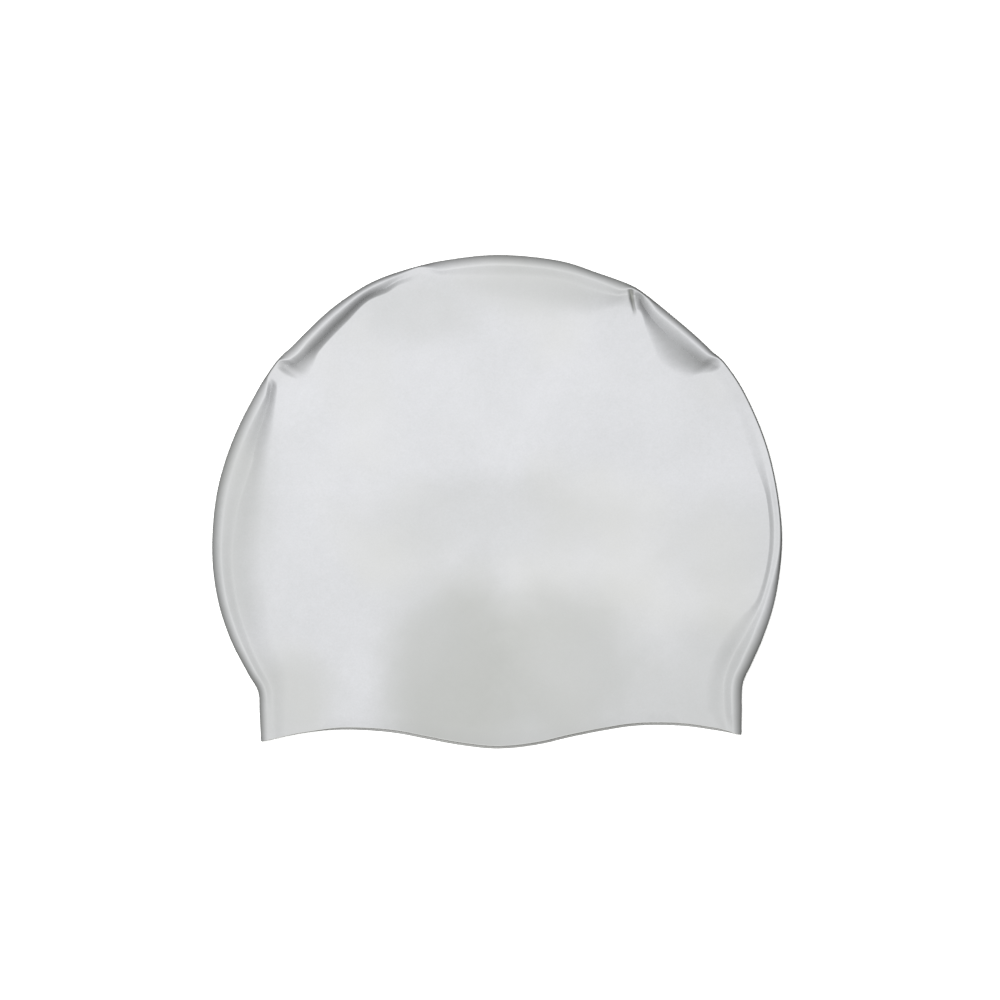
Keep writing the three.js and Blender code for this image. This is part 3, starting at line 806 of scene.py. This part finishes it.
def pearl_clouds_group():
    """Slow drifts of the pearl pigment: how light it is and how warm."""
    group, start, end = new_group(
        "pearl_clouds",
        [
            ("Place", "NodeSocketVector", None),
            ("Cloud Size", "NodeSocketFloat", 18.0),
            ("Drift Size", "NodeSocketFloat", 55.0),
        ],
        [("Lightness", "NodeSocketFloat"), ("Warmth", "NodeSocketFloat")],
    )
    wide = new_node(group, "ShaderNodeTexNoise", (-500, 200), Detail=3.0, Roughness=0.55)
    fine = new_node(group, "ShaderNodeTexNoise", (-500, -60), Detail=5.0, Roughness=0.6)
    warm = new_node(group, "ShaderNodeTexNoise", (-500, -320), Detail=2.0, Roughness=0.5)
    shift = new_node(group, "ShaderNodeVectorMath", (-700, -320), operation="ADD")
    shift.inputs[1].default_value = WARM_SHIFT
    blend = new_node(group, "ShaderNodeMix", (-200, 100), Factor=FINE_DRIFT)
    links = group.links
    links.new(start.outputs["Place"], wide.inputs["Vector"])
    links.new(start.outputs["Cloud Size"], wide.inputs["Scale"])
    links.new(start.outputs["Place"], fine.inputs["Vector"])
    links.new(start.outputs["Drift Size"], fine.inputs["Scale"])
    links.new(start.outputs["Place"], shift.inputs[0])
    links.new(shift.outputs["Vector"], warm.inputs["Vector"])
    links.new(start.outputs["Cloud Size"], warm.inputs["Scale"])
    links.new(wide.outputs["Fac"], blend.inputs["A"])
    links.new(fine.outputs["Fac"], blend.inputs["B"])
    links.new(blend.outputs["Result"], end.inputs["Lightness"])
    links.new(warm.outputs["Fac"], end.inputs["Warmth"])
    return group


def shade_and_cloud_patch_group():
    """One soft patch of painted shade and darker pigment on the sheet: 1 in its middle, 0 outside,
    with a ragged border.
    """
    group, start, end = new_group(
        "shade_and_cloud_patch",
        [
            ("Place", "NodeSocketVector", None),
            ("Middle", "NodeSocketVector", (0.0, 0.0, 0.0)),
            ("Half Size", "NodeSocketVector", (1.0, 1.0, 1.0)),
            ("Raggedness", "NodeSocketFloat", 0.4),
        ],
        [("Mask", "NodeSocketFloat")],
    )
    offset = new_node(group, "ShaderNodeVectorMath", (-650, 100), operation="SUBTRACT")
    scaled = new_node(group, "ShaderNodeVectorMath", (-450, 100), operation="DIVIDE")
    length = new_node(group, "ShaderNodeVectorMath", (-250, 100), operation="LENGTH")
    ragged = new_node(
        group, "ShaderNodeTexNoise", (-650, -200), Scale=PATCH_RAGGED_SCALE, Detail=3.0
    )
    centred = new_node(group, "ShaderNodeMath", (-450, -200), operation="SUBTRACT")
    centred.inputs[1].default_value = 0.5
    shifted = new_node(group, "ShaderNodeMath", (-50, 0), operation="MULTIPLY_ADD")
    fade = new_node(
        group, "ShaderNodeMapRange", (250, 0),
        interpolation_type="SMOOTHSTEP", From_Min=1.0, From_Max=PATCH_FULL,
    )
    links = group.links
    links.new(start.outputs["Place"], offset.inputs[0])
    links.new(start.outputs["Middle"], offset.inputs[1])
    links.new(offset.outputs["Vector"], scaled.inputs[0])
    links.new(start.outputs["Half Size"], scaled.inputs[1])
    links.new(scaled.outputs["Vector"], length.inputs[0])
    links.new(start.outputs["Place"], ragged.inputs["Vector"])
    links.new(ragged.outputs["Fac"], centred.inputs[0])
    links.new(centred.outputs["Value"], shifted.inputs[0])
    links.new(start.outputs["Raggedness"], shifted.inputs[1])
    links.new(length.outputs["Value"], shifted.inputs[2])
    links.new(shifted.outputs["Value"], fade.inputs["Value"])
    links.new(fade.outputs["Result"], end.inputs["Mask"])
    return group


def satin_grain_group():
    """The fine satin grain of the mould: a height and the change in gloss that goes with it."""
    group, start, end = new_group(
        "satin_grain",
        [
            ("Place", "NodeSocketVector", None),
            ("Grain Size", "NodeSocketFloat", 1400.0),
            ("Pore Size", "NodeSocketFloat", 420.0),
        ],
        [("Height", "NodeSocketFloat"), ("Gloss", "NodeSocketFloat")],
    )
    grain = new_node(group, "ShaderNodeTexNoise", (-500, 150), Detail=4.0, Roughness=0.7)
    pores = new_node(group, "ShaderNodeTexNoise", (-500, -150), Detail=3.0, Roughness=0.6)
    blend = new_node(group, "ShaderNodeMix", (-150, 50), Factor=PORE_SHARE)
    links = group.links
    links.new(start.outputs["Place"], grain.inputs["Vector"])
    links.new(start.outputs["Grain Size"], grain.inputs["Scale"])
    links.new(start.outputs["Place"], pores.inputs["Vector"])
    links.new(start.outputs["Pore Size"], pores.inputs["Scale"])
    links.new(grain.outputs["Fac"], blend.inputs["A"])
    links.new(pores.outputs["Fac"], blend.inputs["B"])
    links.new(blend.outputs["Result"], end.inputs["Height"])
    links.new(pores.outputs["Fac"], end.inputs["Gloss"])
    return group


def sheet_tone(tree, cloud, satin, dark, light, warm, fold_shade_tone):
    """The socket with the sheet's tone.

    It goes from dark to light with the drifts and the grain, then to warm, and in a fold to the
    dark fold shade tone, painted shade that darkens the hollows.
    """
    spread = new_node(
        tree, "ShaderNodeMapRange", (-1000, 300),
        From_Min=DRIFT_RANGE[0], From_Max=DRIFT_RANGE[1],
        To_Min=TONE_RANGE[0] - GRAIN_TONE / 2, To_Max=TONE_RANGE[1] - GRAIN_TONE / 2,
    )
    grained = new_node(tree, "ShaderNodeMath", (-800, 300), operation="MULTIPLY_ADD")
    grained.inputs[1].default_value = GRAIN_TONE
    tone = new_node(
        tree, "ShaderNodeMix", (-600, 300), data_type="RGBA", A=(*dark, 1.0), B=(*light, 1.0)
    )
    warmth = new_node(
        tree, "ShaderNodeMapRange", (-800, 600),
        From_Min=WARMTH_RANGE[0], From_Max=WARMTH_RANGE[1], To_Max=MOST_WARMTH,
    )
    warmed = new_node(tree, "ShaderNodeMix", (-450, 450), data_type="RGBA", B=(*warm, 1.0))
    # Painted shade: the hollows are darkened towards the fold shade tone
    fold = new_node(tree, "ShaderNodeAttribute", (-600, 700), attribute_name="fold_shade_share")
    fold_shaded = new_node(tree, "ShaderNodeMix", (-300, 300), data_type="RGBA", B=(*fold_shade_tone, 1.0))
    links = tree.links
    links.new(cloud.outputs["Lightness"], spread.inputs["Value"])
    links.new(satin.outputs["Height"], grained.inputs[0])
    links.new(spread.outputs["Result"], grained.inputs[2])
    links.new(grained.outputs["Value"], tone.inputs["Factor"])
    links.new(tone.outputs["Result"], warmed.inputs["A"])
    links.new(cloud.outputs["Warmth"], warmth.inputs["Value"])
    links.new(warmth.outputs["Result"], warmed.inputs["Factor"])
    links.new(warmed.outputs["Result"], fold_shaded.inputs["A"])
    links.new(fold.outputs["Fac"], fold_shaded.inputs["Factor"])
    return fold_shaded.outputs["Result"]


def silicone_material(
    name, clouds, grain, dark, light, warm, fold_shade_tone, rough, grain_depth, metal
):
    """Pearl silver silicone, from its dark tone to its light one, with painted shade deep in a
    fold.
    """
    material = bpy.data.materials.new(name)
    material.use_nodes = True
    tree = material.node_tree
    shader = tree.nodes["Principled BSDF"]
    shader.inputs["Metallic"].default_value = metal
    shader.inputs["IOR"].default_value = SILICONE_IOR
    place = new_node(tree, "ShaderNodeTexCoord", (-1500, 0))
    cloud = new_node(tree, "ShaderNodeGroup", (-1250, 200), node_tree=clouds)
    satin = new_node(tree, "ShaderNodeGroup", (-1250, -200), node_tree=grain)
    gloss = new_node(
        tree, "ShaderNodeMapRange", (-600, -100),
        To_Min=rough - ROUGH_SPREAD, To_Max=rough + ROUGH_SPREAD,
    )
    bump = new_node(
        tree, "ShaderNodeBump", (-300, -300), Strength=GRAIN_STRENGTH, Distance=grain_depth
    )
    tone = sheet_tone(tree, cloud, satin, dark, light, warm, fold_shade_tone)
    links = tree.links
    links.new(place.outputs["Object"], cloud.inputs["Place"])
    links.new(place.outputs["Object"], satin.inputs["Place"])
    links.new(tone, shader.inputs["Base Color"])
    links.new(satin.outputs["Gloss"], gloss.inputs["Value"])
    links.new(gloss.outputs["Result"], shader.inputs["Roughness"])
    links.new(satin.outputs["Height"], bump.inputs["Height"])
    links.new(bump.outputs["Normal"], shader.inputs["Normal"])
    return material


def add_shade_and_cloud_patches(material, patch):
    """Lays the soft patches of the table, painted shade and darker pigment, over the sheet's tone,
    one after the other.
    """
    tree = material.node_tree
    shader = tree.nodes["Principled BSDF"]
    place = next(node for node in tree.nodes if node.type == "TEX_COORD")
    tone = shader.inputs["Base Color"].links[0].from_socket
    for number, row in enumerate(named_rows(SHADE_AND_CLOUD_PATCHES, PATCH_COLUMNS)):
        height = NODE_ROW + NODE_ROW_STEP * number
        middle = (row["across"] * HALF_WIDTH, (row["up"] - 0.5) * CAP_LENGTH, CAP_LOFT)
        half_size = (row["wide"] * HALF_WIDTH, row["long"] * CAP_LENGTH, PATCH_DEPTH)
        mask = new_node(
            tree, "ShaderNodeGroup", (-200, height),
            node_tree=patch, Middle=middle, Half_Size=half_size,
        )
        strength = new_node(tree, "ShaderNodeMath", (0, height), operation="MULTIPLY")
        strength.inputs[1].default_value = row["share"]
        laid = new_node(
            tree, "ShaderNodeMix", (200, height), data_type="RGBA", B=(*SHADE_AND_CLOUD_TONE, 1.0)
        )
        tree.links.new(place.outputs["Object"], mask.inputs["Place"])
        tree.links.new(mask.outputs["Mask"], strength.inputs[0])
        tree.links.new(strength.outputs["Value"], laid.inputs["Factor"])
        tree.links.new(tone, laid.inputs["A"])
        tone = laid.outputs["Result"]
    tree.links.new(tone, shader.inputs["Base Color"])


def dress_cap(cap):
    """Gives the cap its three materials, in the order of its material slots."""
    clouds = pearl_clouds_group()
    grain = satin_grain_group()
    outside = silicone_material(
        "pearl_silicone", clouds, grain,
        dark=(0.315, 0.319, 0.329), light=(0.393, 0.396, 0.414), warm=(0.352, 0.352, 0.338),
        # The fold shade tone is painted shade, the dark olive grey of the hollows
        fold_shade_tone=(0.106, 0.109, 0.098),
        rough=0.64, grain_depth=0.05 * MM, metal=0.0,
    )
    inside = silicone_material(
        "pearl_silicone_inside", clouds, grain,
        dark=(0.42, 0.42, 0.41), light=(0.50, 0.50, 0.50), warm=(0.47, 0.47, 0.45),
        fold_shade_tone=(0.40, 0.40, 0.39),
        rough=0.6, grain_depth=0.05 * MM, metal=0.1,
    )
    lip = silicone_material(
        "trimmed_lip", clouds, grain,
        dark=(0.40, 0.40, 0.40), light=(0.48, 0.48, 0.48), warm=(0.45, 0.45, 0.43),
        fold_shade_tone=(0.38, 0.38, 0.38),
        rough=0.55, grain_depth=0.04 * MM, metal=0.15,
    )
    add_shade_and_cloud_patches(outside, shade_and_cloud_patch_group())
    for material in (outside, inside, lip):
        cap.data.materials.append(material)


def floor_material():
    """Matt white paper that glows a little, so that it is as pale as in the photo."""
    material = bpy.data.materials.new("pale_paper")
    material.use_nodes = True
    shader = material.node_tree.nodes["Principled BSDF"]
    shader.inputs["Base Color"].default_value = (0.9, 0.9, 0.9, 1.0)
    shader.inputs["Emission Color"].default_value = (1.0, 1.0, 1.0, 1.0)
    shader.inputs["Emission Strength"].default_value = FLOOR_GLOW
    shader.inputs["Roughness"].default_value = 0.9
    shader.inputs["Specular IOR Level"].default_value = 0.1
    return material


def build_floor():
    """A wide pale sheet that the cap lies on. It throws no light back on the cap."""
    turns = [(-1, -1), (1, -1), (1, 1), (-1, 1)]
    corners = [(x * FLOOR_REACH, y * FLOOR_REACH, 0) for x, y in turns]
    mesh = bpy.data.meshes.new("floor")
    mesh.from_pydata(corners, [], [(0, 1, 2, 3)])
    mesh.materials.append(floor_material())
    floor = bpy.data.objects.new("floor", mesh)
    floor.visible_diffuse = False
    floor.visible_glossy = False
    bpy.context.scene.collection.objects.link(floor)


def add_lamp():
    """A soft square lamp above the cap that faces the origin."""
    data = bpy.data.lights.new("overhead_softbox", "AREA")
    data.shape = "SQUARE"
    data.size = LAMP_SIZE
    data.energy = LAMP_POWER
    lamp = bpy.data.objects.new("overhead_softbox", data)
    lamp.location = LAMP_PLACE
    lamp.rotation_euler = (-Vector(LAMP_PLACE)).to_track_quat("-Z", "Y").to_euler()
    bpy.context.scene.collection.objects.link(lamp)


def light_studio():
    """The lamp, and the faint light from all around."""
    add_lamp()
    world = bpy.data.worlds.new("studio")
    world.use_nodes = True
    background = world.node_tree.nodes["Background"]
    background.inputs["Color"].default_value = (*ROOM_TONE, 1.0)
    background.inputs["Strength"].default_value = ROOM_STRENGTH
    bpy.context.scene.world = world
    bpy.context.scene.view_settings.view_transform = "Standard"


def place_camera():
    """Straight above the cap, far off, framed as the photo is."""
    scale = CAP_WIDTH / PHOTO_CAP_WIDTH
    rim_height = ROLL_HEIGHT / 2
    x = (PHOTO_SIZE / 2 - PHOTO_MIDDLE[0]) * scale
    y = (PHOTO_MIDDLE[1] - PHOTO_SIZE / 2) * scale
    data = bpy.data.cameras.new("camera_above")
    data.sensor_width = SENSOR
    data.lens = SENSOR * (CAMERA_HEIGHT - rim_height) / (PHOTO_SIZE * scale)
    data.clip_end = CAMERA_FAR
    camera = bpy.data.objects.new("camera_above", data)
    camera.location = (x, y, CAMERA_HEIGHT)
    bpy.context.scene.collection.objects.link(camera)
    bpy.context.scene.camera = camera


place_camera()
cap = build_cap()
dress_cap(cap)
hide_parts("cap_shell")
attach(cap, "root")
build_floor()
light_studio()
